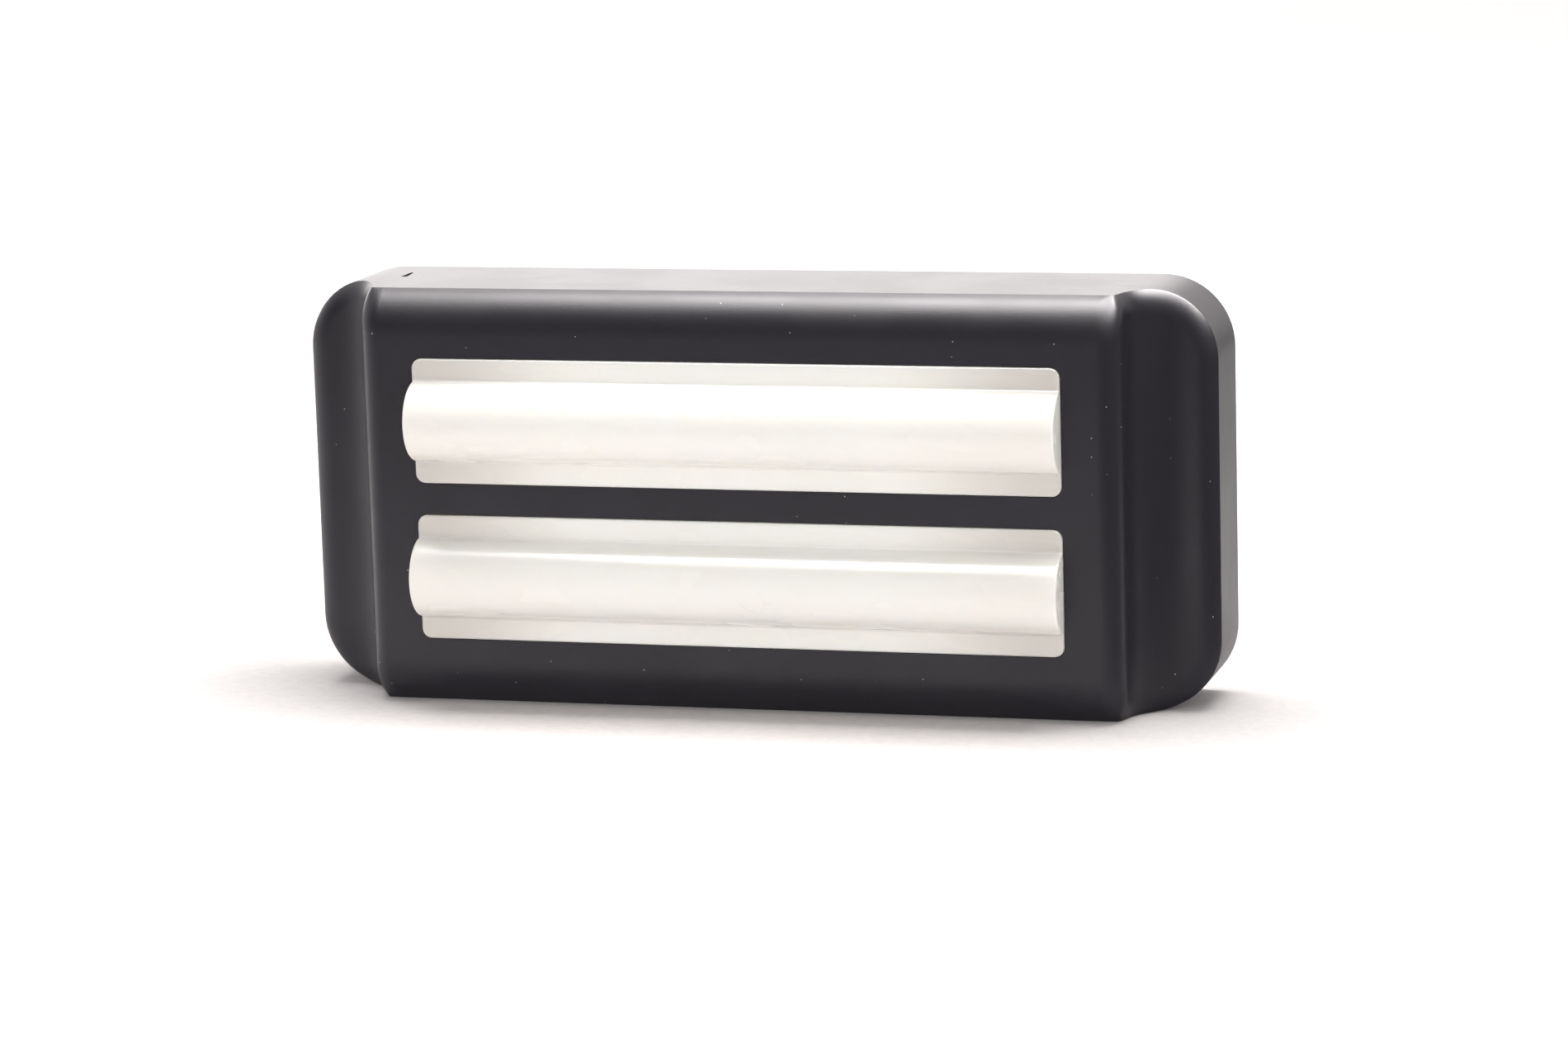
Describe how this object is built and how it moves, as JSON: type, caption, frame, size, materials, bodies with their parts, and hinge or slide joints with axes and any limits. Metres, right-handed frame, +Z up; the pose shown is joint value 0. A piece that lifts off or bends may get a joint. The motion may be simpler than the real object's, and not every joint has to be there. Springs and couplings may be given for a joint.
{
  "type": "front position lamp",
  "caption": "Front position lamp with long opal light bars in a stepped black moulded housing, fixed by rear studs and wired through a gland.",
  "frame": {"origin": "centre of the rear mounting face", "axes": "+X along the lamp's length, +Y out of the rear mounting face (the lamp shines towards -Y), +Z up"},
  "size_m": [0.122, 0.043, 0.0546],
  "materials": {
    "housing": "smooth matte front, finely grained sides",
    "lens": "glossy opal, lightly scratched",
    "lens_seal": "soft satin",
    "reflector": "satin white",
    "board": "lacquered",
    "led": "clear over phosphor",
    "chip": "moulded",
    "capacitor": "drawn",
    "terminal": "moulded",
    "back_plate": "finely grained",
    "plate_seal": "matte",
    "screws": "zinc plated",
    "studs": "zinc plated",
    "gland": "matte"
  },
  "bodies": {
    "root": {"housing": "housing", "lens_upper": "lens", "lens_lower": "lens", "lens_seal_upper": "lens_seal", "lens_seal_lower": "lens_seal", "reflector": "reflector", "circuit_board": "board", "led_upper_1": "led", "led_upper_2": "led", "led_upper_3": "led", "led_upper_4": "led", "led_upper_5": "led", "led_upper_6": "led", "led_lower_1": "led", "led_lower_2": "led", "led_lower_3": "led", "led_lower_4": "led", "led_lower_5": "led", "led_lower_6": "led", "resistor_1": "chip", "resistor_2": "chip", "resistor_3": "chip", "resistor_4": "chip", "protection_diode": "chip", "driver_chip": "chip", "capacitor": "capacitor", "wire_terminal": "terminal", "back_plate": "back_plate", "plate_seal": "plate_seal", "plate_screws": "screws", "stud_left": "studs", "stud_right": "studs", "cable_gland": "gland"}
  },
  "joints": []
}
